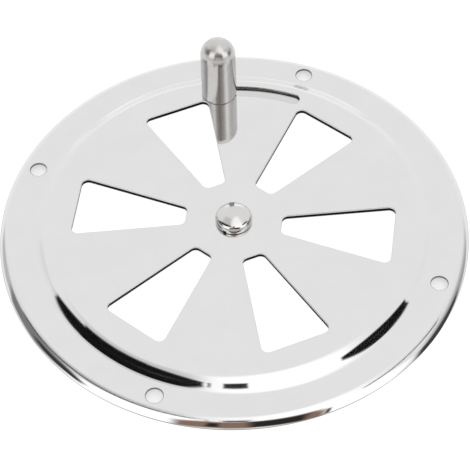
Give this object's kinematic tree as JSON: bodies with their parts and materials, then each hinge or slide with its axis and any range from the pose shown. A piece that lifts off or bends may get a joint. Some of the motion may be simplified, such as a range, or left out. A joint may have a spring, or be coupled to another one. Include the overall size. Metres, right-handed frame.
{
  "type": "butterfly vent cover",
  "caption": "Round stamped-steel butterfly vent: raised face with tapered openings, curled rim, and a rotating rear shutter worked by a domed knob in an arc slot.",
  "frame": {"origin": "centre of the wall plane that the curled rim stands on", "axes": "+Z out of the wall; the four screw holes lie on the X and Y axes; the knob stands 115.5 degrees from +X at rest"},
  "size_m": [0.1262, 0.1262, 0.0244],
  "materials": {
    "polished_steel": "mirror-polished stainless steel",
    "shutter_steel": "bright stainless sheet with sheared edges",
    "rivet_steel": "polished stainless steel",
    "turned_steel": "turned and lightly polished stainless steel",
    "screw_steel": "plain stainless steel",
    "spring_steel": "plain spring stainless steel",
    "washer_steel": "stamped stainless steel",
    "nylon": "natural nylon"
  },
  "bodies": {
    "cover": {"front_plate": "polished_steel", "pivot_rivet": "rivet_steel", "spacer_washer": "nylon", "spring_washer": "spring_steel", "backing_washer": "washer_steel"},
    "shutter_disc": {"shutter": "shutter_steel", "knob": "turned_steel", "knob_screw": "screw_steel", "lock_washer": "spring_steel"}
  },
  "joints": [
    {"name": "shutter_turn", "type": "hinge", "parent": "cover", "child": "shutter_disc", "pos_m": [0, 0, 0.0028], "axis": [0, 0, 1], "range_deg": [-26.4, 0]}
  ]
}
